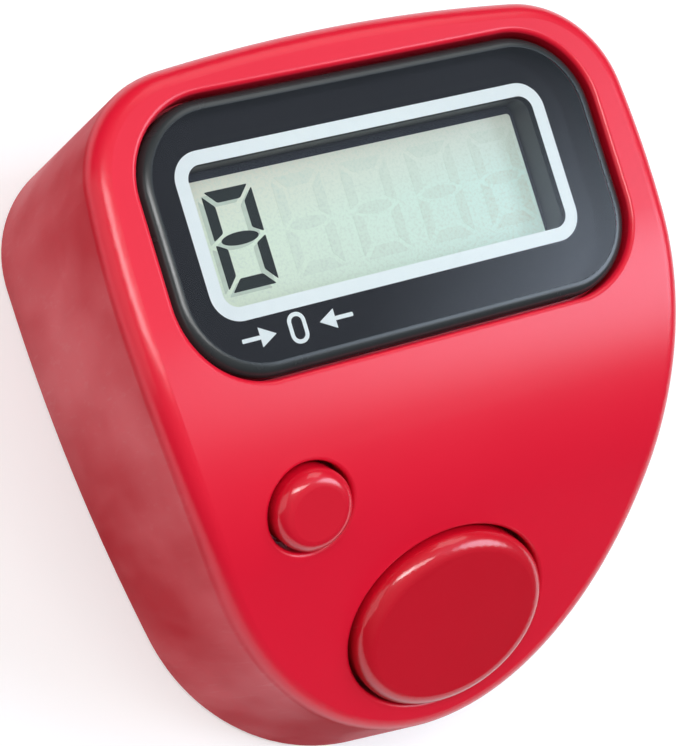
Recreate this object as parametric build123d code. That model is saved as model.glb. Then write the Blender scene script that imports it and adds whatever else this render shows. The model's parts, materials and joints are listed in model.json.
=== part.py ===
from build123d import *
import os
from math import acos, asin, atan2, cos, hypot, pi, radians, sin, sqrt, tan

# Finger counter. Millimetres, +Z out of the display, +Y to the display end,
# origin on the flat back at the middle of the foot outline.

# Display lens, which sets the width of the rim round it
lens_width = 24.9
lens_height = 13.2
lens_thickness = 1.4
lens_corner_radius = 4.1
lens_edge_radius = 0.6
lens_sink = 0.15
lens_gap = 0.15
pocket_edge_radius = 0.25
ledge_thickness = 1.0
ledge_margin = 0.85

# Case: a shield outline at the foot and a wider one at the rim, joined by leaning walls
case_height = 20.5
rim_side_margin = 2.7
rim_end_margin = 2.15
rim_length = 32.9
rim_centre_y = 0.2
rim_corner_radius = 5.5
rim_nose_radius = 14.0
rim_widest_inset = 10.35
rim_edge_radius = 1.0
foot_width = 24.5
foot_length = 34.6
foot_corner_radius = 6.2
foot_nose_radius = 10.4
foot_widest_inset = 5.1
foot_edge_radius = 0.5
display_end_radius = 92.0
wall = 1.3
face = 1.5
overrun = 5.0  # how far a cut reaches past the faces that it opens

# Front face: flat round the display, then a bend, then the slope that holds the buttons
nose_height = 9.83  # where the slope meets the nose of the rim outline
bend_radius = 19.7
bend_overlap = 3.2  # how far the bend starts behind the lens's lower edge

# Bezel and liquid crystal cell
window_side_inset = 2.85
window_end_inset = 3.2
window_rise = 0.3
window_corner_radius = 0.5
collar_wall = 1.1
collar_corner_radius = 1.2
collar_gap = 0.2
bezel_side_wall = 1.2
bezel_end_wall = 0.8
bezel_corner_radius = 2.6
cell_recess = 1.5  # from the back of the lens to the front polariser
cell_cover = 0.9  # how far the cell reaches past the window
cell_gap = 0.1
contact_ledge = 2.2
polariser_thickness = 0.2
polariser_margin = 0.3
glass_thickness = 0.7
pad_thickness = 0.65
clamp_thickness = 1.0
stake_radius = 0.45
stake_head_radius = 0.7
stake_head_height = 0.35
stake_hole_gap = 0.05
stake_end_inset = 3.05
catch_width = 2.0
catch_spacing = 9.0
catch_thickness = 0.7
catch_reach = 1.0

# Count button, on the slope
count_end_margin = 4.45
count_cap_half_width = 5.4
count_cap_half_length = 4.8  # along the slope
count_cap_rise = 0.85
count_cap_edge_radius = 0.8
count_flange_reach = 0.8
count_flange_trim = 0.4  # what is left of that reach towards the nose
count_plunger_radius = 1.6
count_dome_radius = 3.0
count_dome_top_radius = 1.8
count_dome_height = 1.65
key_gap = 0.2
key_seat_gap = 0.1
key_flange_thickness = 0.8
key_hole_edge_radius = 0.2
dome_gap = 0.05
dome_skin = 0.4

# Reset button, on the bend
reset_side_margin = 7.35
reset_spacing_y = 6.9  # from the count button towards the display
reset_cap_radius = 2.05
reset_cap_rise = 0.75
reset_cap_edge_radius = 0.7
reset_flange_reach = 0.7
reset_plunger_radius = 0.9
reset_dome_radius = 1.9
reset_dome_top_radius = 1.1
reset_dome_height = 1.12

# Main board, parallel to the slope
board_depth = 5.0
board_thickness = 1.0
board_post_gap = 0.74  # from the nose post to the board's toe
board_tray_gap = 0.65  # from the board's upper end to the display tray
board_drop = 1.1  # from the display's contact ledge down to the board's upper end
board_half_width = 9.6
board_toe_half_width = 6.0
board_shoulder = 1.0
board_corner_radius = 1.0
board_post_radius = 1.5
board_post_inset = 1.7
board_post_low = 3.2
board_post_end_inset = 1.8
board_post_root = 0.8  # how deep under the slope the posts start, inside the face
board_screw_radius = 0.6
board_screw_length = 3.4
board_screw_head_radius = 1.25
board_screw_head_height = 0.8
board_hole_gap = 0.15
thread_gap = 0.02
screw_slot_width = 0.4
screw_slot_depth = 0.3
screw_slot_share = 0.65  # of the head's width
glob_radius = 2.6
glob_height = 1.1
glob_place = 1.6
chip_length = 1.6
chip_width = 0.8
chip_height = 0.5
chip_place = 4.6
chip_spacing = 8.0
chip_row_pitch = 1.6
flex_thickness = 0.15
flex_width = 10.0
flex_x = 0.5
flex_bend_radius = 1.5
flex_bond = 1.9

# Rear cover and its screws
cover_thickness = 2.0
cover_gap = 0.2
corner_screw_side_inset = 4.35
corner_screw_end_inset = 4.7
nose_screw_end_inset = 3.7
case_screw_radius = 0.75
case_screw_length = 4.0
case_screw_head_radius = 1.5
case_screw_head_height = 0.9
case_screw_sink = 1.1
case_screw_gap = 0.15
case_post_radius = 1.8
case_post_height = 8.0
nose_post_height = 5.9
post_web = 1.2
corner_web_angle = 40.0
post_floor = 0.6

# Finger strap bars in the rear cover
strap_pocket_width = 4.6
strap_pocket_length = 8.0
strap_pocket_depth = 3.6
strap_side_inset = 7.55
strap_end_inset = 10.9
strap_pocket_wall = 0.7
strap_bar_width = 1.4
strap_bar_thickness = 1.4

# Button cell, cup and twist door
battery_radius = 5.8
battery_height = 3.05
battery_cap_inset = 1.2
battery_cap_step = 0.25
battery_edge_radius = 0.3
battery_end_inset = 11.1
battery_gap = 0.2
cup_wall = 2.2
cup_roof = 0.8
cup_room = 1.05  # over the cell, for the negative leaf
door_thickness = 1.2
door_margin = 0.5  # outside the well that the cell drops into
door_gap = 0.1
lug_thickness = 0.95
lug_reach = 0.75
lug_half_angle = 12.0
notch_extra_angle = 3.0
groove_gap = 0.15
door_turn = 45.0
coin_slot_length = 8.0
coin_slot_width = 1.4
coin_slot_depth = 0.6
coin_slot_end_share = 0.45  # of the slot's width, rounds its ends
contact_strip = 0.25
contact_width = 3.0
contact_slot_gap = 0.15
contact_tab_rise = 1.0
leaf_tail_reach = 5.0
leaf_flat = 3.8
leaf_tongue = 3.6
leaf_touch_gap = 0.05
clip_foot_gap = 0.3
clip_touch_gap = 0.1

# Leads from the battery contacts to the board
lead_radius = 0.45
lead_bend_radius = 0.9
lead_rise = 2.2
lead_drop = 1.4
lead_pad_x = 3.0
lead_pad_place = 6.4

# Outlines and the front face
rim_width = lens_width + 2 * rim_side_margin
rim_end_y = rim_centre_y + rim_length / 2
rim_nose_y = rim_centre_y - rim_length / 2
rim_widest_y = rim_end_y - rim_widest_inset
foot_end_y = foot_length / 2
foot_widest_y = foot_end_y - foot_widest_inset
lens_y = rim_end_y - rim_end_margin - lens_height / 2
bend_start_y = lens_y - lens_height / 2 + bend_overlap
bend_centre_z = case_height - bend_radius
# The slope runs from the nose and touches the bend.
run = bend_start_y - rim_nose_y
rise = bend_centre_z - nose_height
slope = atan2(rise, run) + asin(bend_radius / hypot(run, rise))
bend_end_y = bend_start_y - bend_radius * sin(slope)

# Display stack, from the lens down
lens_back = case_height - lens_sink - lens_thickness
ledge_under = lens_back - ledge_thickness
window_width = lens_width - 2 * window_side_inset
window_height = lens_height - 2 * window_end_inset
window_y = lens_y + window_rise
cell_width = window_width + 2 * cell_cover
cell_height = window_height + 2 * cell_cover + contact_ledge
cell_y = window_y - contact_ledge / 2
cell_front = lens_back - cell_recess
glass_front = cell_front - polariser_thickness
glass_middle = glass_front - glass_thickness
glass_back = glass_middle - glass_thickness
reflector_back = glass_back - polariser_thickness
bezel_width = cell_width + 2 * (cell_gap + bezel_side_wall)
bezel_height = cell_height + 2 * (cell_gap + bezel_end_wall)
bezel_back = reflector_back - pad_thickness
clamp_back = bezel_back - clamp_thickness

# Buttons
count_y = rim_nose_y + count_end_margin
count_z = nose_height + count_end_margin * tan(slope)
count_seat = face + key_seat_gap
reset_x = reset_side_margin - rim_width / 2
reset_y = count_y + reset_spacing_y
reset_lean = asin((bend_start_y - reset_y) / bend_radius) if reset_y > bend_end_y else slope
reset_z = bend_centre_z + bend_radius * cos(reset_lean) - max(bend_end_y - reset_y, 0) * tan(slope)
reset_flange_radius = reset_cap_radius + reset_flange_reach
inner_bend_radius = bend_radius - face
reset_seat = count_seat + inner_bend_radius - sqrt(inner_bend_radius ** 2 - reset_flange_radius ** 2)

# How deep the plungers reach, down to the domes on the board
count_reach = board_depth - count_dome_height - dome_gap
reset_skew = slope - reset_lean
reset_over_slope = (reset_z - count_z) * cos(slope) - (reset_y - count_y) * sin(slope)
reset_tip_room = reset_dome_height + dome_gap + reset_plunger_radius * sin(reset_skew)
reset_reach = (reset_over_slope + board_depth - reset_tip_room) / cos(reset_skew)

# Board, along the slope from under the count button
board_under = board_depth + board_thickness
nose_screw_y = nose_screw_end_inset - foot_end_y
board_toe_y = nose_screw_y + case_post_radius + board_post_gap
board_low = (board_toe_y - count_y - board_under * sin(slope)) / cos(slope)
board_end_y = cell_y - bezel_height / 2 - board_tray_gap
board_high = min(
    (board_end_y - count_y - board_under * sin(slope)) / cos(slope),
    (glass_middle - board_drop - count_z + board_depth * cos(slope)) / sin(slope),
)

# Battery, from the door up
battery_y = foot_end_y - battery_end_inset
well_radius = battery_radius + battery_gap
cup_radius = well_radius + cup_wall
door_radius = well_radius + door_margin
lug_radius = door_radius + lug_reach
lug_low = door_thickness + groove_gap
lug_top = lug_low + lug_thickness
battery_low = lug_top + battery_gap / 2
battery_top = battery_low + battery_height
cup_inner_top = battery_top + cup_room
cup_top = cup_inner_top + cup_roof
contact_tab_top = cup_top + contact_tab_rise
leaf_tail_y = battery_y - leaf_tail_reach
clip_y = battery_y + battery_radius + clip_touch_gap + contact_strip / 2

on_slope = Plane((0, count_y, count_z), x_dir=(1, 0, 0), z_dir=(0, -sin(slope), cos(slope))).location
on_bend = Plane(
    (reset_x, reset_y, reset_z), x_dir=(1, 0, 0), z_dir=(0, -sin(reset_lean), cos(reset_lean))
).location


def slope_place(along, height):
    """Y and Z of a point that lies so far up the slope and so high over it."""
    y = count_y + along * cos(slope) - height * sin(slope)
    z = count_z + along * sin(slope) + height * cos(slope)
    return y, z


def rod(radius, low, high):
    standing = (Align.CENTER, Align.CENTER, Align.MIN)
    return Pos(0, 0, low) * Cylinder(radius, high - low, align=standing)


def oval(half_width, half_length, low, high):
    return Pos(0, 0, low) * extrude(Ellipse(half_width, half_length), amount=high - low)


def plate(width, height, radius, low, high):
    return Pos(0, 0, low) * extrude(RectangleRounded(width, height, radius), amount=high - low)


def block(width, length, low, high):
    standing = (Align.CENTER, Align.CENTER, Align.MIN)
    return Pos(0, 0, low) * Box(width, length, high - low, align=standing)


def round_arc(centre, radius, first, last):
    """Arc about a centre, between two angles in radians."""
    spots = [
        (centre[0] + radius * cos(angle), centre[1] + radius * sin(angle))
        for angle in (first, (first + last) / 2, last)
    ]
    return ThreePointArc(*spots)


def shield(width, length, centre_y, corner_radius, nose_radius, widest_y, inset):
    """Shield outline of tangent arcs: display end, two corners, two sides and the nose."""
    end_y = centre_y + length / 2 - display_end_radius
    nose_y = centre_y - length / 2 + nose_radius
    rise = widest_y - nose_y
    side_radius = (width ** 2 / 4 + rise ** 2 - nose_radius ** 2) / (width - 2 * nose_radius)
    side_x = width / 2 - side_radius
    # The corner's centre lies where it touches the end arc and the side arc from inside.
    end_reach = display_end_radius - corner_radius
    side_reach = side_radius - corner_radius
    span = hypot(side_x, widest_y - end_y)
    lean = atan2(widest_y - end_y, side_x)
    turn = acos((end_reach ** 2 + span ** 2 - side_reach ** 2) / (2 * end_reach * span))
    end_turn = lean - turn
    corner_x = end_reach * cos(end_turn)
    corner_y = end_y + end_reach * sin(end_turn)
    side_turn = atan2(corner_y - widest_y, corner_x - side_x)
    nose_turn = atan2(nose_y - widest_y, -side_x)
    arcs = [
        round_arc((0, end_y), display_end_radius - inset, pi - end_turn, end_turn),
        round_arc((corner_x, corner_y), corner_radius - inset, end_turn, side_turn),
        round_arc((side_x, widest_y), side_radius - inset, side_turn, nose_turn),
        round_arc((0, nose_y), nose_radius - inset, nose_turn, -pi - nose_turn),
        round_arc((-side_x, widest_y), side_radius - inset, -pi - nose_turn, -pi - side_turn),
        round_arc((-corner_x, corner_y), corner_radius - inset, -pi - side_turn, -pi - end_turn),
    ]
    return make_face(arcs)


def foot_outline(inset):
    return shield(
        foot_width, foot_length, 0, foot_corner_radius, foot_nose_radius, foot_widest_y, inset
    )


def rim_outline(inset):
    return shield(
        rim_width, rim_length, rim_centre_y, rim_corner_radius, rim_nose_radius, rim_widest_y, inset
    )


def walled(inset):
    """Leaning block between the foot and the rim outlines, set in from both."""
    return loft([foot_outline(inset), Pos(0, 0, case_height) * rim_outline(inset)], ruled=True)


def end_wall_y(z):
    """Middle of the display end's wall at some height, on the centre line."""
    return foot_end_y + (rim_end_y - foot_end_y) * z / case_height - wall / 2


def under_front(drop):
    """All that lies under the front face, or so far under it."""
    middle = (bend_start_y, bend_centre_z)
    radius = bend_radius - drop
    upright = pi / 2
    bend = round_arc(middle, radius, upright, upright + slope)
    last = bend @ 1
    far = (last.X - foot_length * cos(slope), last.Y - foot_length * sin(slope))
    top = case_height - drop
    low = min(far[1], 0) - overrun
    rest = Polyline(far, (far[0], low), (foot_length, low), (foot_length, top), (bend_start_y, top))
    side = make_face([bend, Line((last.X, last.Y), far), *rest.edges()])
    return extrude(Plane.YZ * side, amount=rim_width, both=True)


def strip(points, thickness):
    """Closed outline of a bent strip that follows the points, half its thickness each way."""
    sides = [[], []]
    for i, (u, v) in enumerate(points):
        before = points[max(i - 1, 0)]
        after = points[min(i + 1, len(points) - 1)]
        first = atan2(v - before[1], u - before[0]) if i else atan2(after[1] - v, after[0] - u)
        last = atan2(after[1] - v, after[0] - u) if i < len(points) - 1 else first
        middle = (first + last) / 2 + pi / 2
        reach = thickness / 2 / cos((last - first) / 2)
        for side, sign in zip(sides, (1, -1)):
            side.append((u + sign * reach * cos(middle), v + sign * reach * sin(middle)))
    return make_face(Polyline(*sides[0], *reversed(sides[1]), close=True))


def screw(radius, length, head_radius, head_height):
    """Pan head screw, shank up, with its head under the origin and a cross slot."""
    body = rod(radius, 0, length) + rod(head_radius, -head_height, 0)
    slot_length = 2 * head_radius * screw_slot_share
    slot = block(slot_length, screw_slot_width, -head_height, screw_slot_depth - head_height)
    return body - slot - Rot(0, 0, 90) * slot


def mirrored(x, y):
    return [(x, y), (-x, y)]


case_screw_places = [
    *mirrored(foot_width / 2 - corner_screw_side_inset, foot_end_y - corner_screw_end_inset),
    (0, nose_screw_y),
]
board_post_x = board_half_width - board_post_inset
board_post_places = [
    *mirrored(board_post_x, board_post_low),
    (board_post_x, board_high - board_post_end_inset),
]
stake_x = (bezel_width - bezel_side_wall) / 2
stake_reach = bezel_height / 2 - stake_end_inset
stake_places = mirrored(stake_x, cell_y + stake_reach) + mirrored(stake_x, cell_y - stake_reach)


def count_hole(low, high):
    return oval(count_cap_half_width + key_gap, count_cap_half_length + key_gap, low, high)


def reset_hole(low, high):
    return rod(reset_cap_radius + key_gap, low, high)


def case_block():
    """Solid case with its rounded rim and foot, the lens pocket and the button holes."""
    case = walled(0) & under_front(0)
    front = case.faces().filter_by(lambda f: f.normal_at().Z > cos(slope) / 2)
    rim = [
        edge
        for edge in front.edges()
        if edge.geom_type != GeomType.LINE or abs(edge.tangent_at().X) < cos(slope)
    ]
    case = fillet(rim, rim_edge_radius)
    case = fillet(case.faces().sort_by(Axis.Z)[0].edges(), foot_edge_radius)

    pocket = plate(
        lens_width + 2 * lens_gap,
        lens_height + 2 * lens_gap,
        lens_corner_radius + lens_gap,
        lens_back,
        case_height + overrun,
    )
    case -= Pos(0, lens_y, 0) * pocket
    pocket_rim = [
        edge
        for edge in case.edges()
        if edge.bounding_box().min.Z > lens_back + pocket_edge_radius
        and abs(edge.center().X) < lens_width / 2 + 2 * lens_gap
        and abs(edge.center().Y - lens_y) < lens_height / 2 + 2 * lens_gap
    ]
    case = fillet(pocket_rim, pocket_edge_radius)
    for place, hole in ((on_slope, count_hole), (on_bend, reset_hole)):
        case -= place * hole(-face, overrun)
        mouth = case.edges().sort_by(lambda e: (e.center(CenterOf.MASS) - place.position).length)[0]
        case = fillet(mouth, key_hole_edge_radius)
    return case


def front_shell():
    cavity = walled(wall) & under_front(face)
    thick_y = lens_y - lens_height / 2 - ledge_margin
    thick_end = block(rim_width, foot_length, ledge_under, case_height)
    cavity -= Pos(0, thick_y + foot_length / 2, 0) * thick_end
    shell = case_block() - cavity
    aperture = plate(
        window_width + 2 * (collar_wall + collar_gap),
        window_height + 2 * (collar_wall + collar_gap),
        collar_corner_radius + collar_gap,
        ledge_under - overrun,
        case_height,
    )
    shell -= Pos(0, window_y, 0) * aperture
    shell -= on_slope * count_hole(-board_depth, -face / 2)
    shell -= on_bend * reset_hole(-board_depth / 2, -face / 2)

    for x, along in board_post_places:
        post = rod(board_post_radius, -board_depth, -board_post_root)
        hole_top = board_screw_length - board_under + board_hole_gap
        hole = rod(board_screw_radius + thread_gap, -board_depth - overrun, hole_top)
        shell += on_slope * Pos(x, along, 0) * post
        shell -= on_slope * Pos(x, along, 0) * hole

    for x, y in case_screw_places:
        high = case_post_height if y > 0 else nose_post_height
        web_reach = case_post_radius + wall
        web = Pos(web_reach / 2, 0, 0) * block(web_reach, post_web, cover_thickness, high)
        outward = {0: -90, 1: corner_web_angle, -1: 180 - corner_web_angle}[(x > 0) - (x < 0)]
        post = rod(case_post_radius, cover_thickness, high) + Rot(0, 0, outward) * web
        hole = rod(case_screw_radius + thread_gap, 0, high - post_floor)
        shell += Pos(x, y, 0) * post
        shell -= Pos(x, y, 0) * hole

    catch_y = cell_y + bezel_height / 2 - catch_reach
    catch_root = end_wall_y(clamp_back)
    catch = block(catch_width, catch_root - catch_y, clamp_back - catch_thickness, clamp_back)
    for x, y in mirrored(catch_spacing / 2, (catch_y + catch_root) / 2):
        shell += Pos(x, y, 0) * catch
    return shell


def display_lens():
    lens = plate(lens_width, lens_height, lens_corner_radius, lens_back, case_height - lens_sink)
    lens = fillet(lens.faces().sort_by(Axis.Z)[-1].edges(), lens_edge_radius)
    return Pos(0, lens_y, 0) * lens


def display_bezel():
    collar = plate(
        window_width + 2 * collar_wall,
        window_height + 2 * collar_wall,
        collar_corner_radius,
        cell_front,
        lens_back,
    )
    window = plate(window_width, window_height, window_corner_radius, bezel_back, lens_back + overrun)
    tray = plate(bezel_width, bezel_height, bezel_corner_radius, bezel_back, ledge_under)
    room_width = cell_width + 2 * cell_gap
    room_height = cell_height + 2 * cell_gap
    cell_room = block(room_width, room_height, bezel_back - overrun, cell_front)
    slot_width = flex_width + 2 * cell_gap
    flex_slot = block(slot_width, bezel_height / 2, bezel_back - overrun, glass_middle + cell_gap)
    bezel = Pos(0, cell_y, 0) * tray + Pos(0, window_y, 0) * collar
    bezel -= Pos(0, cell_y, 0) * cell_room
    bezel -= Pos(0, window_y, 0) * window
    bezel -= Pos(flex_x, cell_y - bezel_height / 2, 0) * flex_slot
    for x, y in stake_places:
        stake = rod(stake_radius, clamp_back, bezel_back)
        stake += rod(stake_head_radius, clamp_back - stake_head_height, clamp_back)
        bezel += Pos(x, y, 0) * stake
    return bezel


def lcd_layers():
    """The four layers of the liquid crystal cell; the front glass has the contact ledge."""
    rear_height = cell_height - contact_ledge
    film_width = cell_width - 2 * polariser_margin
    film_height = rear_height - 2 * polariser_margin
    behind_window = Pos(0, window_y, 0)
    return {
        "lcd_front_polariser": behind_window * block(film_width, film_height, glass_front, cell_front),
        "lcd_front_glass": Pos(0, cell_y, 0) * block(cell_width, cell_height, glass_middle, glass_front),
        "lcd_rear_glass": behind_window * block(cell_width, rear_height, glass_back, glass_middle),
        "lcd_rear_reflector": behind_window * block(film_width, film_height, reflector_back, glass_back),
    }


def lcd_pressure_pad():
    pad = block(cell_width, cell_height - contact_ledge, bezel_back, reflector_back)
    return Pos(0, window_y, 0) * pad


def lcd_clamp():
    clamp = plate(bezel_width, bezel_height, bezel_corner_radius, clamp_back, bezel_back)
    clamp = Pos(0, cell_y, 0) * clamp
    hole = rod(stake_radius + stake_hole_gap, bezel_back - overrun, bezel_back + overrun)
    for x, y in stake_places:
        clamp -= Pos(x, y, 0) * hole
    return clamp


def display_flex():
    """Ribbon under the contact ledge, then round a bend and down onto the board."""
    start_y = cell_y - cell_height / 2 + flex_bond
    tail_along = board_high - flex_bond
    tail_top = slope_place(tail_along, flex_thickness - board_depth)
    tail_under = slope_place(tail_along, -board_depth)
    corner_y = tail_top[0] + (glass_middle - tail_top[1]) / tan(slope)
    middle = (corner_y + flex_bend_radius * tan(slope / 2), glass_middle - flex_bend_radius)
    upright = pi / 2
    outer = round_arc(middle, flex_bend_radius, upright, upright + slope)
    inner = round_arc(middle, flex_bend_radius - flex_thickness, upright, upright + slope)
    start_top = (start_y, glass_middle)
    start_under = (start_y, glass_middle - flex_thickness)
    sides = [
        Line(start_top, outer @ 0),
        outer,
        Line(outer @ 1, tail_top),
        Line(tail_top, tail_under),
        Line(tail_under, inner @ 1),
        inner,
        Line(inner @ 0, start_under),
        Line(start_under, start_top),
    ]
    ribbon = extrude(Plane.YZ * make_face(sides), amount=flex_width / 2, both=True)
    return Pos(flex_x, 0, 0) * ribbon


def main_board():
    half = [
        (board_toe_half_width, board_low),
        (board_half_width, board_shoulder),
        (board_half_width, board_high),
    ]
    outline = make_face(Polyline(*half, *[(-x, y) for x, y in reversed(half)], close=True))
    board = extrude(fillet(outline.vertices(), board_corner_radius), amount=board_thickness)
    board = on_slope * Pos(0, 0, -board_under) * board
    for x, along in board_post_places:
        hole = rod(board_screw_radius + board_hole_gap, -board_depth - overrun, overrun - board_depth)
        board -= on_slope * Pos(x, along, 0) * hole
    return board


def board_screws():
    fixing = screw(
        board_screw_radius, board_screw_length, board_screw_head_radius, board_screw_head_height
    )
    return [on_slope * Pos(x, along, -board_under) * fixing for x, along in board_post_places]


def board_chips():
    ball_radius = (glob_radius ** 2 + glob_height ** 2) / (2 * glob_height)
    ball = Pos(0, 0, ball_radius - glob_height) * Sphere(ball_radius)
    glob = ball & rod(glob_radius, -glob_height, 0)
    chip = block(chip_length, chip_width, -chip_height, 0)
    low_side = on_slope * Pos(0, 0, -board_under)
    resistors = [
        low_side * Pos(-chip_spacing / 2, place, 0) * chip
        for place in (chip_place, chip_place - chip_row_pitch)
    ]
    return {
        "chip_glob_top": low_side * Pos(0, glob_place, 0) * glob,
        "chip_resistors": resistors,
        "chip_capacitor": low_side * Pos(chip_spacing / 2, chip_place, 0) * chip,
    }


def key(half_width, half_length, cap_rise, edge_radius, flange_reach, seat, plunger_radius, reach):
    """Push button along +Z: cap with a rounded edge, flange under the face, plunger to its reach."""
    cap = oval(half_width, half_length, -seat, cap_rise)
    cap = fillet(cap.faces().sort_by(Axis.Z)[-1].edges(), edge_radius)
    flange = oval(
        half_width + flange_reach, half_length + flange_reach, -seat - key_flange_thickness, -seat
    )
    return cap + flange + rod(plunger_radius, -reach, -seat)


def count_button():
    button = key(
        count_cap_half_width,
        count_cap_half_length,
        count_cap_rise,
        count_cap_edge_radius,
        count_flange_reach,
        count_seat,
        count_plunger_radius,
        count_reach,
    )
    trim_y = -count_cap_half_length - count_flange_trim - overrun / 2
    trim = block(2 * (count_cap_half_width + count_flange_reach), overrun, -board_depth, 0)
    return on_slope * (button - Pos(0, trim_y, 0) * trim)


def reset_button():
    return on_bend * key(
        reset_cap_radius,
        reset_cap_radius,
        reset_cap_rise,
        reset_cap_edge_radius,
        reset_flange_reach,
        reset_seat,
        reset_plunger_radius,
        reset_reach,
    )


def dome(radius, top_radius, height):
    """Hollow silicone dome on the board, its crown at the given height."""
    outside = [(0, 0), (radius, 0), (radius, dome_skin), (top_radius, height), (0, height)]
    inside_top = height - 2 * dome_skin
    inside = [(0, 0), (radius - dome_skin, 0), (top_radius - dome_skin, inside_top), (0, inside_top)]
    skin = make_face(Polyline(*outside, close=True)) - make_face(Polyline(*inside, close=True))
    return revolve(Plane.XZ * skin, Axis.Z)


def key_domes():
    """Both domes stand on the board, each under the tip of its plunger."""
    tip_y = reset_y + reset_reach * sin(reset_lean)
    tip_z = reset_z - reset_reach * cos(reset_lean)
    along = (tip_y - count_y) * cos(slope) + (tip_z - count_z) * sin(slope)
    count = dome(count_dome_radius, count_dome_top_radius, count_dome_height)
    reset = dome(reset_dome_radius, reset_dome_top_radius, reset_dome_height)
    return {
        "count_dome": on_slope * Pos(0, 0, -board_depth) * count,
        "reset_dome": on_slope * Pos(reset_x, along, -board_depth) * reset,
    }


def sector(radius, half_angle, low, high):
    """Wedge about +X, as high as given, cut from a disc."""
    wedge = make_face(
        [
            Line((0, 0), (radius * cos(half_angle), -radius * sin(half_angle))),
            round_arc((0, 0), radius, -half_angle, half_angle),
            Line((radius * cos(half_angle), radius * sin(half_angle)), (0, 0)),
        ]
    )
    return Pos(0, 0, low) * extrude(wedge, amount=high - low)


def battery_door():
    door = rod(door_radius, 0, door_thickness) + rod(well_radius, door_thickness, lug_top)
    lug = sector(lug_radius, radians(lug_half_angle), lug_low, lug_top)
    door += lug + Rot(0, 0, 180) * lug
    slot_end_radius = coin_slot_width * coin_slot_end_share
    slot = plate(coin_slot_length, coin_slot_width, slot_end_radius, -overrun, coin_slot_depth)
    return Pos(0, battery_y, 0) * (door - slot)


def rear_cover():
    cover = extrude(foot_outline(wall + cover_gap), amount=cover_thickness)
    cover += Pos(0, battery_y, 0) * rod(cup_radius, 0, cup_top)

    strap_room = block(
        strap_pocket_width + 2 * strap_pocket_wall,
        strap_pocket_length + 2 * strap_pocket_wall,
        0,
        strap_pocket_depth + strap_pocket_wall,
    )
    pocket = block(strap_pocket_width, strap_pocket_length, -overrun, strap_pocket_depth)
    bar = block(strap_bar_width, strap_pocket_length, 0, strap_bar_thickness)
    strap_places = mirrored(foot_width / 2 - strap_side_inset, strap_end_inset - foot_end_y)
    for x, y in strap_places:
        cover += Pos(x, y, 0) * strap_room
    for x, y in strap_places:
        cover -= Pos(x, y, 0) * (pocket - bar)

    groove_top = lug_top + groove_gap
    well = rod(well_radius, 0, cup_inner_top)
    well += rod(door_radius + door_gap, -overrun, door_thickness)
    well += rod(lug_radius + groove_gap, door_thickness, groove_top)
    notch = sector(
        lug_radius + groove_gap, radians(lug_half_angle + notch_extra_angle), -overrun, door_thickness
    )
    for turn in (door_turn, door_turn + 180):
        well += Rot(0, 0, turn) * notch
    slot_width = contact_width + 2 * contact_slot_gap
    slot_depth = contact_strip + 2 * contact_slot_gap
    leaf_slot = block(slot_width, slot_depth, cup_inner_top - cup_room, cup_top + overrun)
    clip_slot = block(slot_width, slot_depth, groove_top, cup_top + overrun)
    cover -= Pos(0, battery_y, 0) * well
    cover -= Pos(0, leaf_tail_y, 0) * leaf_slot
    cover -= Pos(0, clip_y, 0) * clip_slot

    for x, y in case_screw_places:
        head_room = rod(case_screw_head_radius + case_screw_gap, -overrun, case_screw_sink)
        shank_room = rod(case_screw_radius + case_screw_gap, 0, cover_thickness + overrun)
        cover -= Pos(x, y, 0) * (head_room + shank_room)
    return cover


def case_screws():
    fixing = screw(
        case_screw_radius, case_screw_length, case_screw_head_radius, case_screw_head_height
    )
    return [Pos(x, y, case_screw_sink) * fixing for x, y in case_screw_places]


def battery_cell():
    can_top = battery_top - battery_cap_step
    can = fillet(rod(battery_radius, battery_low, can_top).edges(), battery_edge_radius)
    cap = rod(battery_radius - battery_cap_inset, can_top, battery_top)
    return Pos(0, battery_y, 0) * (can + cap)


def battery_contacts():
    roof = cup_inner_top - contact_strip / 2
    tip = battery_top + leaf_touch_gap + contact_strip
    leaf_line = [
        (leaf_tail_y, contact_tab_top),
        (leaf_tail_y, roof),
        (leaf_tail_y + leaf_flat, roof),
        (leaf_tail_y + leaf_flat + leaf_tongue, tip),
    ]
    clip_line = [(clip_y, battery_low + clip_foot_gap), (clip_y, contact_tab_top)]
    lines = {"battery_negative_leaf": leaf_line, "battery_positive_clip": clip_line}
    return {
        name: extrude(Plane.YZ * strip(line, contact_strip), amount=contact_width / 2, both=True)
        for name, line in lines.items()
    }


def lead(points):
    """Round wire along straight runs joined by tangent arcs."""
    route = FilletPolyline(*points, radius=lead_bend_radius)
    start = Plane(route @ 0, z_dir=route % 0)
    return sweep(start * Circle(lead_radius), path=route)


def leads():
    pad = slope_place(lead_pad_place, -board_under)
    approach = slope_place(lead_pad_place, -board_under - lead_drop)
    high = contact_tab_top + lead_rise
    routes = {"negative_lead": (leaf_tail_y, -lead_pad_x), "positive_lead": (clip_y, lead_pad_x)}
    return {
        name: lead([(0, tab_y, contact_tab_top), (0, tab_y, high), (pad_x, *approach), (pad_x, *pad)])
        for name, (tab_y, pad_x) in routes.items()
    }


pieces = {
    "front_shell": front_shell(),
    "rear_cover": rear_cover(),
    "case_screws": case_screws(),
    "display_lens": display_lens(),
    "display_bezel": display_bezel(),
    **lcd_layers(),
    "lcd_pressure_pad": lcd_pressure_pad(),
    "lcd_clamp": lcd_clamp(),
    "display_flex": display_flex(),
    "main_board": main_board(),
    "board_screws": board_screws(),
    **board_chips(),
    "count_button": count_button(),
    "reset_button": reset_button(),
    **key_domes(),
    "battery_door": battery_door(),
    "battery_cell": battery_cell(),
    **battery_contacts(),
    **leads(),
}

os.makedirs("parts", exist_ok=True)
for node, shape in pieces.items():
    if isinstance(shape, list):
        shape = Compound(children=shape)
    export_step(shape, f"parts/{node}.step")
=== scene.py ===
import json
import math

import bmesh
import bpy
from mathutils import Matrix, Quaternion, Vector


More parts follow.
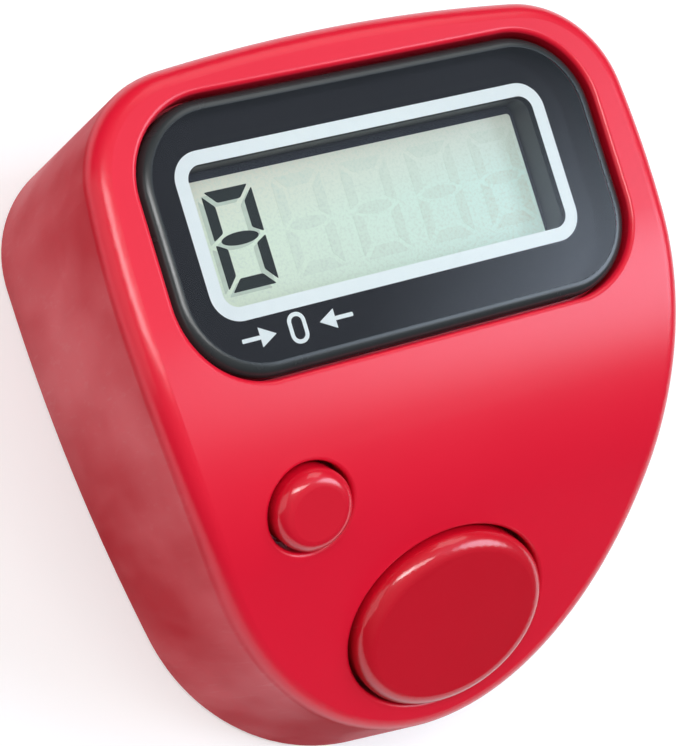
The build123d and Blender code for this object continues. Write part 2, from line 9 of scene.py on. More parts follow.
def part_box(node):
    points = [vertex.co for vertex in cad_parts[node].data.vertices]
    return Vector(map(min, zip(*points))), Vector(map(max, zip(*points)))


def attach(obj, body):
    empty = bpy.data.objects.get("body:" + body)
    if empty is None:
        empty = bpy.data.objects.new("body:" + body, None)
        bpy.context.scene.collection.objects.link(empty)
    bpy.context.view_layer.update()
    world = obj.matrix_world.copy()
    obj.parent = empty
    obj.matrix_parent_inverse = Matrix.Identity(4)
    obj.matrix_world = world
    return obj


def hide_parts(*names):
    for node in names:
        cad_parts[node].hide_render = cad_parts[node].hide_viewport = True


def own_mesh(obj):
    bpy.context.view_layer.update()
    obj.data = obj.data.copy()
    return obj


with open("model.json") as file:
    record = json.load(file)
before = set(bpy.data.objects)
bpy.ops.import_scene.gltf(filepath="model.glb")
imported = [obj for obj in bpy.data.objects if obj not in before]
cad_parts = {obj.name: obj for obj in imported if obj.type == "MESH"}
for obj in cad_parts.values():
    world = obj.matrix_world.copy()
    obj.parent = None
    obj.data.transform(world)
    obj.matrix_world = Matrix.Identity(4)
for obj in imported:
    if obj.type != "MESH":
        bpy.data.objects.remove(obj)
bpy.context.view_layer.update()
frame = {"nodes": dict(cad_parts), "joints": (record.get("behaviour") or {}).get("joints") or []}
mm = 0.001
mergeDistance = 0.0001 * mm
print("frame loaded,", len(frame["nodes"]), "nodes")


class Level:
    # one shader value; an expression on levels adds its Math nodes

    def __init__(self, finish, socket):
        self.finish = finish
        self.socket = socket

    def maths(self, operation, first, second):
        return self.finish.add("ShaderNodeMath", {"operation": operation}, {0: first, 1: second})

    def __add__(self, other):
        return self.maths("ADD", self, other)

    def __radd__(self, other):
        return self.maths("ADD", other, self)

    def __sub__(self, other):
        return self.maths("SUBTRACT", self, other)

    def __rsub__(self, other):
        return self.maths("SUBTRACT", other, self)

    def __mul__(self, other):
        return self.maths("MULTIPLY", self, other)

    def __rmul__(self, other):
        return self.maths("MULTIPLY", other, self)


class Finish:
    # builds one node tree; add() makes any node, its settings before its sockets

    def __init__(self, tree):
        self.tree = tree
        self.tree.nodes.clear()

    def add(self, kind, settings=None, sockets=None, out=0):
        node = self.tree.nodes.new(kind)
        for name, value in (settings or {}).items():
            setattr(node, name, value)
        for name, value in (sockets or {}).items():
            if isinstance(value, Level):
                self.tree.links.new(value.socket, node.inputs[name])
            else:
                node.inputs[name].default_value = value
        return Level(self, node.outputs[out]) if len(node.outputs) else None

    def place(self):
        return self.add("ShaderNodeTexCoord", out="Object")

    def noise(self, scale, detail, stretch=(1, 1, 1)):
        spot = self.add("ShaderNodeMapping", {}, {"Vector": self.place(), "Scale": stretch})
        return self.add("ShaderNodeTexNoise", {}, {"Vector": spot, "Scale": scale, "Detail": detail}, "Fac")

    def axis(self, vector, letter):
        return self.add("ShaderNodeSeparateXYZ", {}, {0: vector}, letter)

    def ramp(self, span, value, kind="LINEAR"):
        # 0 at the start of the span to 1 at its end
        return self.add("ShaderNodeMapRange", {"interpolation_type": kind},
                        {0: value, 1: span[0], 2: span[1]})

    def soft(self, span, value):
        return self.ramp(span, value, "SMOOTHSTEP")

    def along(self, letter, span):
        return self.ramp(span, self.axis(self.place(), letter))

    def blend(self, share, first, second):
        return self.add("ShaderNodeMix", {"data_type": "RGBA"}, {0: share, 6: first, 7: second}, 2)

    def bump(self, height, depth):
        return self.add("ShaderNodeBump", {}, {"Height": height, "Distance": depth})

    def surface(self, **sockets):
        # sockets are given as baseColor, roughness and so on
        named = {}
        for name, value in sockets.items():
            words = "".join(" " + c if c.isupper() else c for c in name).title()
            named[words.replace("I O R", "IOR")] = value
        self.output(self.add("ShaderNodeBsdfPrincipled", {}, named, "BSDF"))

    def output(self, shader):
        self.add("ShaderNodeOutputMaterial", {}, {"Surface": shader})


def newFinish(name):
    look = bpy.data.materials.new(name)
    look.use_nodes = True
    return look, Finish(look.node_tree)


def tone(red, green, blue):
    return (red, green, blue, 1.0)


white = tone(1, 1, 1)

# moulded red plastic: satin in front; at the side walls painted shade darkens it, with paler streaks of
# painted sheen where rubbed, and scratches; spark-eroded at the back
redPlastic = {
    "light": tone(0.78, 0.005, 0.030),
    "deep": tone(0.46, 0.002, 0.010),
    "pale": tone(0.80, 0.20, 0.22),
    "mottle": {"scale": 90.0, "detail": 4.0},
    "mottleShow": 0.3,
    "peel": {"scale": 520.0, "detail": 2.0},
    "peelDepth": 0.010 * mm,
    "peelRoughness": 0.06,
    "scuff": {"scale": 240.0, "detail": 6.0, "stretch": (1.0, 0.35, 1.0)},
    "scuffSpan": (0.52, 0.75),
    "scuffRoughness": 0.06,
    "spark": {"scale": 5200.0, "detail": 2.0},
    "sparkDepth": 0.02 * mm,
    "shine": 0.15,
    "wallSpan": (0.55, 0.9),
    "wallRoughness": 0.28,
    "rub": {"scale": 130.0, "detail": 4.0, "stretch": (1.0, 1.0, 0.3)},
    "rubSheenSpan": (0.36, 0.62),
    "wallShadeDepth": 0.5,
    "rubSkin": 0.38,
    "scratch": {"scale": 4200.0, "detail": 3.0, "stretch": (1.0, 0.8, 0.07)},
    "scratchSpan": (0.58, 0.76),
    "scratchShow": 0.16,
}


def redFinish(name, satin, skin, skinRoughness, shade=0.0, sparked=False):
    look, f = newFinish(name)
    # steep faces count as wall: painted shade darkens them towards the deep red, and rubbed streaks are
    # painted paler as sheen and take a gloss coat, with hairline scratches
    upright = f.axis(f.add("ShaderNodeTexCoord", out="Normal"), "Z")
    upright = f.add("ShaderNodeMath", {"operation": "ABSOLUTE"}, {0: upright})
    wall = f.soft(redPlastic["wallSpan"], 1.0 - upright)
    rub = f.ramp(redPlastic["rubSheenSpan"], f.noise(**redPlastic["rub"]))
    mottle = f.noise(**redPlastic["mottle"])
    # painted shade on the steep walls outside the rubbed streaks, beside a random mottle and the part's own
    # tone
    share = mottle * redPlastic["mottleShow"] + wall * (1.0 - rub) * redPlastic["wallShadeDepth"] + shade
    base = f.blend(share, redPlastic["light"], redPlastic["deep"])
    scratch = f.ramp(redPlastic["scratchSpan"], f.noise(**redPlastic["scratch"]))
    base = f.blend(scratch * wall * rub * redPlastic["scratchShow"], base, redPlastic["pale"])
    peel = f.noise(**redPlastic["peel"])
    scuffs = f.ramp(redPlastic["scuffSpan"], f.noise(**redPlastic["scuff"]))
    rough = (satin + peel * redPlastic["peelRoughness"] + scuffs * redPlastic["scuffRoughness"]
             + wall * redPlastic["wallRoughness"])
    if sparked:
        normal = f.bump(f.noise(**redPlastic["spark"]), redPlastic["sparkDepth"])
    else:
        normal = f.bump(peel, redPlastic["peelDepth"])
    f.surface(baseColor=base, roughness=rough, normal=normal, specularIORLevel=redPlastic["shine"],
              coatWeight=wall * rub * redPlastic["rubSkin"] + (1.0 - wall) * skin,
              coatRoughness=skinRoughness)
    return look


caseRed = redFinish("caseRed", satin=0.36, skin=0.7, skinRoughness=0.24)
countRed = redFinish("countRed", satin=0.34, skin=1.0, skinRoughness=0.12, shade=0.55)
resetRed = redFinish("resetRed", satin=0.34, skin=1.0, skinRoughness=0.12, shade=0.25)
backRed = redFinish("backRed", satin=0.46, skin=0.0, skinRoughness=0.24, shade=0.15, sparked=True)

speckle = {"detail": 4.0, "roughness": 0.12}


def speckled(name, light, dark, scale, rough, depth=0.0, metal=0.0, stretch=(1, 1, 1), shine=0.5):
    # a plain material with grain in its colour, roughness and height
    look, f = newFinish(name)
    grain = f.noise(scale, speckle["detail"], stretch)
    sockets = {"baseColor": f.blend(grain, light, dark), "roughness": rough + grain * speckle["roughness"],
               "metallic": metal, "specularIORLevel": shine}
    if depth:
        sockets["normal"] = f.bump(grain, depth)
    f.surface(**sockets)
    return look


bezelBlack = speckled("bezelBlack", tone(0.014, 0.014, 0.016), tone(0.022, 0.022, 0.024),
                      scale=3000.0, rough=0.42, depth=0.008 * mm)
printBlack = speckled("printBlack", tone(0.006, 0.006, 0.008), tone(0.010, 0.009, 0.012),
                      scale=900.0, rough=0.5, shine=0.05)
printWhite = speckled("printWhite", tone(0.90, 0.97, 0.98), tone(0.85, 0.93, 0.95),
                      scale=1600.0, rough=0.5, shine=0.05)
padFoam = speckled("padFoam", tone(0.05, 0.05, 0.055), tone(0.02, 0.02, 0.02),
                   scale=4200.0, rough=0.85, depth=0.05 * mm)
clampGrey = speckled("clampGrey", tone(0.32, 0.33, 0.34), tone(0.25, 0.26, 0.27),
                     scale=1800.0, rough=0.45, depth=0.01 * mm)
chipEpoxy = speckled("chipEpoxy", tone(0.012, 0.012, 0.013), tone(0.03, 0.03, 0.032),
                     scale=700.0, rough=0.22, depth=0.02 * mm)
chipCeramic = speckled("chipCeramic", tone(0.55, 0.42, 0.28), tone(0.42, 0.31, 0.2),
                       scale=2600.0, rough=0.5, depth=0.01 * mm)
domeSilicone = speckled("domeSilicone", tone(0.62, 0.62, 0.6), tone(0.5, 0.5, 0.49),
                        scale=700.0, rough=0.45, depth=0.01 * mm)
leadBlack = speckled("leadBlack", tone(0.015, 0.015, 0.016), tone(0.03, 0.03, 0.03),
                     scale=1500.0, rough=0.42, depth=0.01 * mm)
leadRed = speckled("leadRed", tone(0.5, 0.02, 0.02), tone(0.38, 0.012, 0.014),
                   scale=1500.0, rough=0.42, depth=0.01 * mm)
flexFilm = speckled("flexFilm", tone(0.60, 0.36, 0.11), tone(0.46, 0.26, 0.07),
                    scale=900.0, rough=0.3, depth=0.004 * mm)

# metals are brushed by a stretched grain
screwSteel = speckled("screwSteel", tone(0.56, 0.56, 0.57), tone(0.42, 0.42, 0.43),
                      scale=2400.0, rough=0.24, depth=0.006 * mm, metal=1.0, stretch=(1.0, 0.15, 1.0))
cellSteel = speckled("cellSteel", tone(0.62, 0.62, 0.61), tone(0.5, 0.5, 0.5),
                     scale=1800.0, rough=0.2, depth=0.004 * mm, metal=1.0, stretch=(0.1, 1.0, 1.0))
contactNickel = speckled("contactNickel", tone(0.64, 0.61, 0.55), tone(0.5, 0.47, 0.42),
                         scale=2000.0, rough=0.26, depth=0.005 * mm, metal=1.0, stretch=(0.2, 1.0, 1.0))

# green mask over a faint weave of glass cloth
board = {
    "warp": {"scale": 1500.0, "detail": 1.0, "stretch": (1.0, 0.2, 1.0)},
    "weft": {"scale": 1500.0, "detail": 1.0, "stretch": (0.2, 1.0, 1.0)},
    "warpShare": 0.5,
    "deep": tone(0.012, 0.13, 0.045),
    "light": tone(0.02, 0.21, 0.08),
    "roughness": 0.3,
    "weaveRoughness": 0.15,
    "weaveDepth": 0.01 * mm,
}


def boardFinish():
    look, f = newFinish("boardGreen")
    warp = f.noise(**board["warp"]) * board["warpShare"]
    weave = warp + f.noise(**board["weft"]) * (1.0 - board["warpShare"])
    f.surface(baseColor=f.blend(weave, board["deep"], board["light"]),
              roughness=board["roughness"] + weave * board["weaveRoughness"],
              normal=f.bump(weave, board["weaveDepth"]))
    return look


boardGreen = boardFinish()

# thin display glass, faintly green
displayGlass = {
    "haze": {"scale": 300.0, "detail": 3.0},
    "cool": tone(0.66, 0.74, 0.70),
    "warm": tone(0.72, 0.78, 0.72),
    "roughness": 0.06,
    "hazeRoughness": 0.06,
}


def glassFinish():
    look, f = newFinish("lcdGlass")
    haze = f.noise(**displayGlass["haze"])
    f.surface(baseColor=f.blend(haze, displayGlass["cool"], displayGlass["warm"]),
              roughness=displayGlass["roughness"] + haze * displayGlass["hazeRoughness"])
    return look


lcdGlass = glassFinish()

# the display's face: warmer at the left end, greener at the right end, beige over a strip along the top,
# with a fine reflector grain
displayFace = {
    "left": tone(0.78, 0.89, 0.71),
    "right": tone(0.71, 0.95, 0.88),
    "upper": tone(0.80, 0.73, 0.63),
    "upperShow": 0.8,
    "fade": 4.0 * mm,
    "dim": tone(0.65, 0.77, 0.67),
    "grain": {"scale": 7000.0, "detail": 2.0},
    "grainSpan": (0.45, 0.9),
    "grainDepth": 0.004 * mm,
    "roughness": 0.5,
    "grainRoughness": 0.15,
    "lit": tone(0.012, 0.018, 0.017),
    "litEdge": tone(0.022, 0.030, 0.028),
    "shadow": tone(0.50, 0.55, 0.47),
    "shadowEdge": tone(0.645, 0.795, 0.68),
}


def displayFinish(name, shade):
    look, f = newFinish(name)
    low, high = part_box("lcd_front_polariser")
    base = f.blend(f.along("X", (low.x, high.x)), displayFace["left"], displayFace["right"])
    rise = f.along("Y", (high.y - displayFace["fade"], high.y)) * displayFace["upperShow"]
    base = f.blend(rise, base, displayFace["upper"])
    grain = f.noise(**displayFace["grain"])
    base = f.blend(f.ramp(displayFace["grainSpan"], grain) + shade, base, displayFace["dim"])
    f.surface(baseColor=base, roughness=displayFace["roughness"] + grain * displayFace["grainRoughness"],
              normal=f.bump(grain, displayFace["grainDepth"]))
    return look


lcdFace = displayFinish("lcdFace", shade=0.0)
lcdFaint = displayFinish("lcdFaint", shade=0.38)
lcdFilm = speckled("lcdFilm", tone(0.56, 0.58, 0.56), tone(0.48, 0.50, 0.48),
                   scale=2600.0, rough=0.3, depth=0.004 * mm)
lcdLit = speckled("lcdLit", displayFace["lit"], displayFace["litEdge"],
                  scale=2600.0, rough=0.5, shine=0.1)
lcdShadow = speckled("lcdShadow", displayFace["shadow"], displayFace["shadowEdge"],
                     scale=2600.0, rough=0.5, shine=0.1)
# blue-black border round the display's picture: partly the seal's own dark, partly painted shade of the
# window's recess
sealAndShadeBlack = speckled("sealAndShadeBlack", tone(0.018, 0.020, 0.030), tone(0.03, 0.034, 0.045),
                     scale=1200.0, rough=0.5, shine=0.1)

# a clear sheet: only its gloss shows, by Fresnel, a little uneven where it was wiped
clearSheet = {
    "bend": 1.49,
    "wipe": {"scale": 160.0, "detail": 5.0, "stretch": (1.0, 0.4, 1.0)},
    "wipeShow": 0.3,
    "wipeLeast": 0.85,
    "roughness": 0.05,
}


def clearFinish(name, shine):
    look, f = newFinish(name)
    wipe = f.noise(**clearSheet["wipe"]) * clearSheet["wipeShow"] + clearSheet["wipeLeast"]
    share = f.add("ShaderNodeFresnel", {}, {"IOR": clearSheet["bend"]}) * wipe * shine
    gloss = f.add("ShaderNodeBsdfGlossy", {}, {"Color": white, "Roughness": clearSheet["roughness"]})
    clear = f.add("ShaderNodeBsdfTransparent")
    f.output(f.add("ShaderNodeMixShader", {}, {0: share, 1: clear, 2: gloss}))
    return look


lensClear = clearFinish("lensClear", shine=1.0)
lensUnder = clearFinish("lensUnder", shine=0.1)
lensEdge = speckled("lensEdge", tone(0.030, 0.036, 0.036), tone(0.02, 0.023, 0.025),
                    scale=500.0, rough=0.2)
print("finishes made,", len(bpy.data.materials))


def panelFace(mesh, width, depth, radius, centre, height, segments=8):
    # one flat face with round corners
    before = set(mesh.faces)
    place = Matrix.Translation((centre[0], centre[1], height)) @ Matrix.Diagonal((width, depth, 1.0, 1.0))
    made = bmesh.ops.create_grid(mesh, x_segments=1, y_segments=1, size=0.5, matrix=place)
    bmesh.ops.bevel(mesh, geom=made["verts"], offset=radius, offset_type="OFFSET", segments=segments,
                    profile=0.5, affect="VERTICES", material=-1)
    return (set(mesh.faces) - before).pop()


def ringFaces(mesh, outer, inner):
    # the flat band between two round-cornered panels
    edges = []
    for panel in (outer, inner):
        face = panelFace(mesh, **panel)
        edges += list(face.edges)
        bmesh.ops.delete(mesh, geom=[face], context="FACES_ONLY")
    return bmesh.ops.bridge_loops(mesh, edges=edges)["faces"]


def thicken(mesh, faces, thickness):
    grown = bmesh.ops.extrude_face_region(mesh, geom=faces)["geom"]
    corners = [part for part in grown if isinstance(part, bmesh.types.BMVert)]
    bmesh.ops.translate(mesh, verts=corners, vec=(0.0, 0.0, thickness))


def finishPiece(name, mesh, looks, sharpAngle=35.0):
    # every new piece sits inside the case, so it rides there
    bmesh.ops.remove_doubles(mesh, verts=mesh.verts, dist=mergeDistance)
    bmesh.ops.recalc_face_normals(mesh, faces=mesh.faces)
    data = bpy.data.meshes.new(name)
    mesh.to_mesh(data)
    mesh.free()
    for look in looks:
        data.materials.append(look)
    data.polygons.foreach_set("use_smooth", [True] * len(data.polygons))
    data.set_sharp_from_angle(angle=math.radians(sharpAngle))
    piece = bpy.data.objects.new(name, data)
    bpy.context.scene.collection.objects.link(piece)
    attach(piece, "case")
    return piece


# the window plate: clear top, smoky rounded edge, print behind it
lensLow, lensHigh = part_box("display_lens")
lens = {
    "cornerRadius": 4.1 * mm,
    "cornerSegments": 12,
    "edgeRadius": 0.6 * mm,
    "edgeSegments": 6,
    "topBand": 0.001 * mm,
    "flatFrom": 0.999,
    "flatWeight": 100,
    "printDepth": 0.94 * mm,
    "film": 0.01 * mm,
    "filmLayers": 3,
    "maskInset": 0.55 * mm,
    "window": (19.2 * mm, 6.8 * mm),
    "windowCentre": (0.0, 8.2 * mm),
    "windowRadius": 0.75 * mm,
    "lineWidth": 0.67 * mm,
}
lens["size"] = (lensHigh.x - lensLow.x, lensHigh.y - lensLow.y)
lens["centre"] = ((lensHigh.x + lensLow.x) / 2, (lensHigh.y + lensLow.y) / 2)
lens["printZ"] = lensHigh.z - lens["printDepth"]
lens["maskZ"] = lens["printZ"] - lens["filmLayers"] * lens["film"]


def lensPanel(inset, height):
    return {
        "width": lens["size"][0] - 2 * inset,
        "depth": lens["size"][1] - 2 * inset,
        "radius": lens["cornerRadius"] - inset,
        "centre": lens["centre"],
        "height": height,
        "segments": lens["cornerSegments"],
    }


def windowPanel(grow, height):
    return {
        "width": lens["window"][0] + 2 * grow,
        "depth": lens["window"][1] + 2 * grow,
        "radius": lens["windowRadius"] + grow,
        "centre": lens["windowCentre"],
        "height": height,
        "segments": lens["cornerSegments"],
    }


def lensSide(face):
    # slot 0 is the clear top, 1 the smoky edge, 2 the underside
    if face.normal.z > lens["flatFrom"]:
        return 0
    return 2 if face.normal.z < -lens["flatFrom"] else 1


def buildLensCover():
    mesh = bmesh.new()
    face = panelFace(mesh, **lensPanel(0.0, lens["printZ"]))
    thicken(mesh, [face], lens["printDepth"])
    bmesh.ops.recalc_face_normals(mesh, faces=mesh.faces)
    topFrom = lensHigh.z - lens["topBand"]
    top = [edge for edge in mesh.edges if min(v.co.z for v in edge.verts) > topFrom]
    bmesh.ops.bevel(mesh, geom=top, offset=lens["edgeRadius"], offset_type="OFFSET",
                    segments=lens["edgeSegments"], profile=0.5, affect="EDGES", material=-1)
    for face in mesh.faces:
        face.material_index = lensSide(face)
    cover = finishPiece("lens_cover", mesh, [lensClear, lensEdge, lensUnder])
    # large flat faces keep their own normal beside the round edge
    even = cover.modifiers.new("evenNormals", "WEIGHTED_NORMAL")
    even.keep_sharp = True
    even.weight = lens["flatWeight"]
    return cover


def buildPrint(name, outer, inner, thickness, look):
    mesh = bmesh.new()
    thicken(mesh, ringFaces(mesh, outer, inner), thickness)
    finishPiece(name, mesh, [look])


lensCover = buildLensCover()
buildPrint("lens_backing", lensPanel(0.0, lensLow.z), windowPanel(0.0, lensLow.z),
           lens["maskZ"] - lensLow.z, printBlack)
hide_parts("display_lens")
buildPrint("lens_mask", lensPanel(lens["maskInset"], lens["maskZ"]),
           windowPanel(lens["lineWidth"], lens["maskZ"]), lens["film"], printBlack)
buildPrint("lens_frame_line", windowPanel(lens["lineWidth"], lens["maskZ"]),
           windowPanel(0.0, lens["maskZ"]), lens["film"], printWhite)

# a plain set-to-zero sign beside the window: two arrows that point at a nought
zeroSign = {
    "centre": (-6.4 * mm, 3.22 * mm),
    "height": 1.5 * mm,
    "noughtWidth": 0.95 * mm,
    "noughtRound": 0.48,
    "stroke": 0.2 * mm,
    "arrowLength": 0.85 * mm,
    "arrowHeight": 0.95 * mm,
    "tailLength": 0.95 * mm,
    "tailRound": 0.2,
    "tailSegments": 2,
    "reach": 2.95 * mm,
}


def noughtPanel(trim, height):
    width = zeroSign["noughtWidth"] - trim
    return {"width": width, "depth": zeroSign["height"] - trim, "radius": width * zeroSign["noughtRound"],
            "centre": zeroSign["centre"], "height": height}


def buildZeroSign():
    mesh = bmesh.new()
    height = lens["maskZ"] + lens["film"]
    centreX, centreY = zeroSign["centre"]
    faces = list(ringFaces(mesh, noughtPanel(0.0, height), noughtPanel(2 * zeroSign["stroke"], height)))
    foot = zeroSign["reach"] - zeroSign["tailLength"]
    tip = foot - zeroSign["arrowLength"]
    half = zeroSign["arrowHeight"] / 2
    for side in (-1, 1):
        tailX = centreX + side * (zeroSign["reach"] - zeroSign["tailLength"] / 2)
        faces.append(panelFace(mesh, zeroSign["tailLength"], zeroSign["stroke"],
                               zeroSign["stroke"] * zeroSign["tailRound"], (tailX, centreY), height,
                               zeroSign["tailSegments"]))
        points = [(tip, 0.0), (foot, -half), (foot, half)]
        corners = [mesh.verts.new((centreX + side * x, centreY + y, height)) for x, y in points]
        faces.append(mesh.faces.new(corners))
    thicken(mesh, faces, lens["film"])
    finishPiece("lens_zero_sign", mesh, [printWhite])


buildZeroSign()
print("window plate and print made")

# five seven-bar digits: the left one lit, its shadow on the reflector, the others faint
digits = {
    "left": -8.28 * mm,
    "pitch": 3.72 * mm,
    "count": 5,
    "width": 2.65 * mm,
    "height": 4.9 * mm,
    "centreY": 8.15 * mm,
    "sideStroke": 0.55 * mm,
    "levelStroke": 0.60 * mm,
    "gap": 0.085 * mm,
    "cornerRadius": 0.08 * mm,
    "cornerSegments": 3,
    "innerCut": 0.5,
    "middleInset": 0.6,
    "middleHalf": 0.52,
    "middleSegments": 20,
    "film": 0.012 * mm,
    "shadowShift": (-0.24 * mm, -0.16 * mm),
}
# the seal border round the picture also stands for the shade inside the window's recess: painted shade
seal = {"picture": (18.9 * mm, 6.5 * mm), "centre": (0.0, 7.95 * mm), "cornerRadius": 0.2 * mm}
faceLow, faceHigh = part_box("lcd_front_polariser")


def barFace(mesh, start, end, inward, startCut, endCut, height):
    # one bar: its outer edge from start to end, its inner edge cut back at both ends
    run = (end - start).normalized()
    points = [start, end, end + inward - run * endCut, start + inward + run * startCut]
    corners = [mesh.verts.new((p.x, p.y, height)) for p in points]
    before = set(mesh.faces)
    mesh.faces.new(corners)
    bmesh.ops.bevel(mesh, geom=corners, offset=digits["cornerRadius"], offset_type="OFFSET",
                    segments=digits["cornerSegments"], profile=0.5, affect="VERTICES", material=-1)
    return (set(mesh.faces) - before).pop()


def digitFaces(mesh, left, shift, height):
    halfWide, halfHigh = digits["width"] / 2, digits["height"] / 2
    middle = Vector((left + halfWide + shift[0], digits["centreY"] + shift[1], 0.0))
    side, level, gap = digits["sideStroke"], digits["levelStroke"], digits["gap"]
    faces = []
    for up in (1, -1):
        # top or bottom bar, then the two side bars of that half
        edge = Vector((0.0, up * halfHigh, 0.0))
        across = Vector((halfWide - 2 * gap, 0.0, 0.0))
        faces.append(barFace(mesh, middle + edge - across, middle + edge + across,
                             Vector((0.0, -up * level, 0.0)), side, side, height))
        for hand in (-1, 1):
            outer = Vector((hand * halfWide, 0.0, 0.0))
            far = Vector((0.0, up * (halfHigh - 2 * gap), 0.0))
            near = Vector((0.0, up * gap, 0.0))
            inward = Vector((-hand * side, 0.0, 0.0))
            faces.append(barFace(mesh, middle + outer + far, middle + outer + near, inward,
                                 level, level * digits["innerCut"], height))
    before = set(mesh.faces)
    place = Matrix.Translation((middle.x, middle.y, height))
    reach = (halfWide - side * digits["middleInset"], level * digits["middleHalf"], 1.0, 1.0)
    bmesh.ops.create_circle(mesh, cap_ends=True, segments=digits["middleSegments"], radius=1.0,
                            matrix=place @ Matrix.Diagonal(reach))
    return faces + list(set(mesh.faces) - before)


def buildSeal():
    mesh = bmesh.new()
    outer = {"width": faceHigh.x - faceLow.x, "depth": faceHigh.y - faceLow.y,
             "radius": seal["cornerRadius"], "height": faceHigh.z,
             "centre": ((faceLow.x + faceHigh.x) / 2, (faceLow.y + faceHigh.y) / 2)}
    inner = {"width": seal["picture"][0], "depth": seal["picture"][1],
             "radius": seal["cornerRadius"], "height": faceHigh.z, "centre": seal["centre"]}
    thicken(mesh, ringFaces(mesh, outer, inner), digits["film"])
    finishPiece("lcd_seal_and_shade", mesh, [sealAndShadeBlack])


def buildDigits(name, lefts, shift, base, look):
    mesh = bmesh.new()
    faces = []
    for left in lefts:
        faces += digitFaces(mesh, left, shift, base)
    thicken(mesh, faces, digits["film"])
    finishPiece(name, mesh, [look])


places = [digits["left"] + digits["pitch"] * n for n in range(digits["count"])]
buildSeal()
buildDigits("lcd_digit_shadow", places[:1], digits["shadowShift"], faceHigh.z, lcdShadow)
buildDigits("lcd_digit_lit", places[:1], (0.0, 0.0), faceHigh.z + digits["film"], lcdLit)
buildDigits("lcd_digits_faint", places[1:], (0.0, 0.0), faceHigh.z, lcdFaint)
print("display made")

# silicone domes on the board, one under each key
domes = {
    "count_dome": {"joint": "count_press", "top": 1.8 * mm, "height": 1.65 * mm, "keep": 0.58},
    "reset_dome": {"joint": "reset_press", "top": 1.1 * mm, "height": 1.12 * mm, "keep": 0.48},
}
domeSkin = {
    "thickness": 0.4 * mm,
    "edgeRadius": 0.1 * mm,
    "edgeSegments": 3,
    "edgeFrom": 20.0,
    "sharpAngle": 60.0,
    "turns": 48,
}


def jointAxis(name):
    joint = next(joint for joint in frame["joints"] if joint["name"] == name)
    return Vector(joint["axis"]).normalized()


def buildDome(node, joint, top, height, keep):
    # a skin spun round the board's normal, which is the count key's own line
    low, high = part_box(node)
    normal = -jointAxis("count_press")
    radius = (high.x - low.x) / 2
    base = Vector(((low.x + high.x) / 2, high.y - radius * normal.z, low.z - radius * normal.y))
    skin = domeSkin["thickness"]
    roof = height - 2 * skin
    profile = [(0.0, height), (top, height), (radius, skin), (radius, 0.0),
               (radius - skin, 0.0), (top - skin, roof), (0.0, roof)]
    mesh = bmesh.new()
    points = [mesh.verts.new((out, 0.0, up)) for out, up in profile]
    line = [mesh.edges.new(pair) for pair in zip(points, points[1:])]
    bmesh.ops.spin(mesh, geom=points + line, cent=(0, 0, 0), axis=(0, 0, 1), angle=2 * math.pi,
                   steps=domeSkin["turns"], use_merge=True)
    bmesh.ops.remove_doubles(mesh, verts=mesh.verts, dist=mergeDistance)
    bmesh.ops.recalc_face_normals(mesh, faces=mesh.faces)
    edgeFrom = math.radians(domeSkin["edgeFrom"])
    rings = [edge for edge in mesh.edges if edge.calc_face_angle(0.0) > edgeFrom]
    bmesh.ops.bevel(mesh, geom=rings, offset=domeSkin["edgeRadius"], offset_type="OFFSET",
                    segments=domeSkin["edgeSegments"], profile=0.5, affect="EDGES", material=-1)
    turn = normal.to_track_quat("Z", "X").to_matrix().to_4x4()
    bmesh.ops.transform(mesh, matrix=Matrix.Translation(base) @ turn, verts=mesh.verts)
    piece = finishPiece(node + "_skin", mesh, [domeSilicone], domeSkin["sharpAngle"])
    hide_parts(node)
    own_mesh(piece)


for domeNode, dome in domes.items():
    buildDome(domeNode, **dome)
print("domes made,", len(domes))

nodeLooks = {
    "front_shell": caseRed,
    "rear_cover": backRed,
    "battery_door": backRed,
    "count_button": countRed,
    "reset_button": resetRed,
    "case_screws": screwSteel,
    "board_screws": screwSteel,
    "display_bezel": bezelBlack,
    "display_lens": lensClear,
    "lcd_front_polariser": lcdFace,
    "lcd_front_glass": lcdGlass,
    "lcd_rear_glass": lcdGlass,
    "lcd_rear_reflector": lcdFilm,
    "lcd_pressure_pad": padFoam,
    "lcd_clamp": clampGrey,
    "display_flex": flexFilm,
    "main_board": boardGreen,
    "chip_glob_top": chipEpoxy,
    "chip_resistors": chipCeramic,
    "chip_capacitor": chipCeramic,
    "count_dome": domeSilicone,
    "reset_dome": domeSilicone,
    "battery_cell": cellSteel,
    "battery_negative_leaf": contactNickel,
    "battery_positive_clip": contactNickel,
    "negative_lead": leadBlack,
    "positive_lead": leadRed,
}
for nodeName, look in nodeLooks.items():
    holder = bpy.data.objects[nodeName]
    if not holder.material_slots:
        holder.data.materials.append(look)
    for entry in holder.material_slots:
        entry.material = look
print("solids finished,", len(nodeLooks))

# pale floor: white to the eye, with the shadow kept
floor = {"size": 1.6, "cells": 8, "albedo": 0.60, "roughness": 0.9, "glow": 0.45}


def floorFinish():
    look, f = newFinish("floorPale")
    seen = f.add("ShaderNodeLightPath", out="Is Camera Ray")
    for kind in ("Is Glossy Ray", "Is Transmission Ray"):
        ray = f.add("ShaderNodeLightPath", out=kind)
        seen = f.add("ShaderNodeMath", {"operation": "MAXIMUM"}, {0: seen, 1: ray})
    pale = tone(floor["albedo"], floor["albedo"], floor["albedo"])
    f.surface(baseColor=pale, roughness=floor["roughness"], emissionColor=white,
              emissionStrength=seen * floor["glow"])
    return look


def buildFloor():
    mesh = bmesh.new()
    bmesh.ops.create_grid(mesh, x_segments=floor["cells"], y_segments=floor["cells"], size=floor["size"] / 2)
    data = bpy.data.meshes.new("floor")
    mesh.to_mesh(data)
    mesh.free()
    data.materials.append(floorFinish())
    ground = bpy.data.objects.new("floor", data)
    bpy.context.scene.collection.objects.link(ground)


buildFloor()

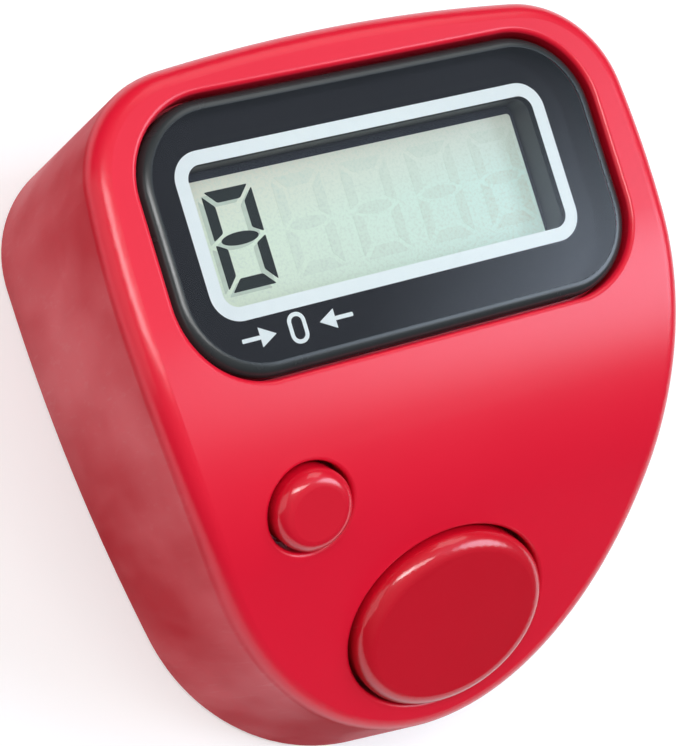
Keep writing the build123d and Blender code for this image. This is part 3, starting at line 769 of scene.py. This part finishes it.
# soft studio: a room that darkens to the floor, two glows to the right, and lamps above,
# along the left rim, low on the left and behind
studio = {
    "low": 0.06,
    "high": 0.32,
    "rise": (0.15, 0.9),
    "glowTone": tone(0.80, 0.93, 1.12),
    "glows": {
        "window": {"from": (0.70, -0.17, 0.69), "edge": (0.925, 0.99), "power": 6.2},
        "panel": {"from": (0.48, 0.12, 0.87), "edge": (0.90, 0.985), "power": 0.3},
    },
    "aim": (0.0, 0.0, 0.012),
    "distance": 0.40,
    "lamps": {
        "key": {"from": (-0.20, 0.12, 0.97), "size": (0.09, 0.36), "power": 0.7},
        "rim": {"from": (-0.30, 0.13, 0.945), "size": (0.05, 0.14), "power": 0.2},
        "side": {"from": (-0.90, 0.15, 0.35), "size": (0.30, 0.30), "power": 0.3},
        "back": {"from": (0.40, 0.62, 0.67), "size": (0.20, 0.20), "power": 0.22},
    },
}


def buildWorld():
    world = bpy.data.worlds.new("studio")
    bpy.context.scene.world = world
    world.use_nodes = True
    f = Finish(world.node_tree)
    ray = f.add("ShaderNodeTexCoord", out="Generated")
    light = f.soft(studio["rise"], f.axis(ray, "Z")) * (studio["high"] - studio["low"]) + studio["low"]
    share = 0.0
    for glow in studio["glows"].values():
        way = tuple(Vector(glow["from"]).normalized())
        near = f.add("ShaderNodeVectorMath", {"operation": "DOT_PRODUCT"}, {0: ray, 1: way}, "Value")
        inside = f.soft(glow["edge"], near)
        light = light + inside * glow["power"]
        share = inside + share
    # plain white to the camera
    seen = f.add("ShaderNodeLightPath", out="Is Camera Ray")
    strength = seen + (1.0 - seen) * light
    shade = f.blend(share * (1.0 - seen), white, studio["glowTone"])
    room = f.add("ShaderNodeBackground", {}, {"Color": shade, "Strength": strength})
    f.add("ShaderNodeOutputWorld", {}, {"Surface": room})


def buildLamp(name, way, size, power):
    lamp = bpy.data.lights.new(name, "AREA")
    lamp.shape = "RECTANGLE"
    lamp.size, lamp.size_y = size
    lamp.energy = power
    holder = bpy.data.objects.new(name, lamp)
    way = Vector(way).normalized()
    holder.location = Vector(studio["aim"]) + way * studio["distance"]
    holder.rotation_euler = (-way).to_track_quat("-Z", "Y").to_euler()
    holder.visible_camera = False
    bpy.context.scene.collection.objects.link(holder)


buildWorld()
for lampName, lamp in studio["lamps"].items():
    buildLamp(lampName, lamp["from"], lamp["size"], lamp["power"])

camera = {
    "spot": (-0.055757, -0.005816, 0.115136),
    "aim": (-0.002684, 0.001004, 0.015),
    "roll": 66.57,
    "lens": 113.5,
    "sensor": 36.0,
    "nearest": 0.01,
}


def buildCamera():
    data = bpy.data.cameras.new("camera")
    data.lens = camera["lens"]
    data.sensor_width = camera["sensor"]
    data.clip_start = camera["nearest"]
    holder = bpy.data.objects.new("camera", data)
    spot = Vector(camera["spot"])
    facing = (Vector(camera["aim"]) - spot).to_track_quat("-Z", "Y")
    turn = Quaternion((0.0, 0.0, 1.0), math.radians(camera["roll"]))
    holder.location = spot
    holder.rotation_euler = (facing @ turn).to_euler()
    bpy.context.scene.collection.objects.link(holder)
    bpy.context.scene.camera = holder


buildCamera()
bpy.context.scene.view_settings.view_transform = "Standard"
print("studio and camera set")
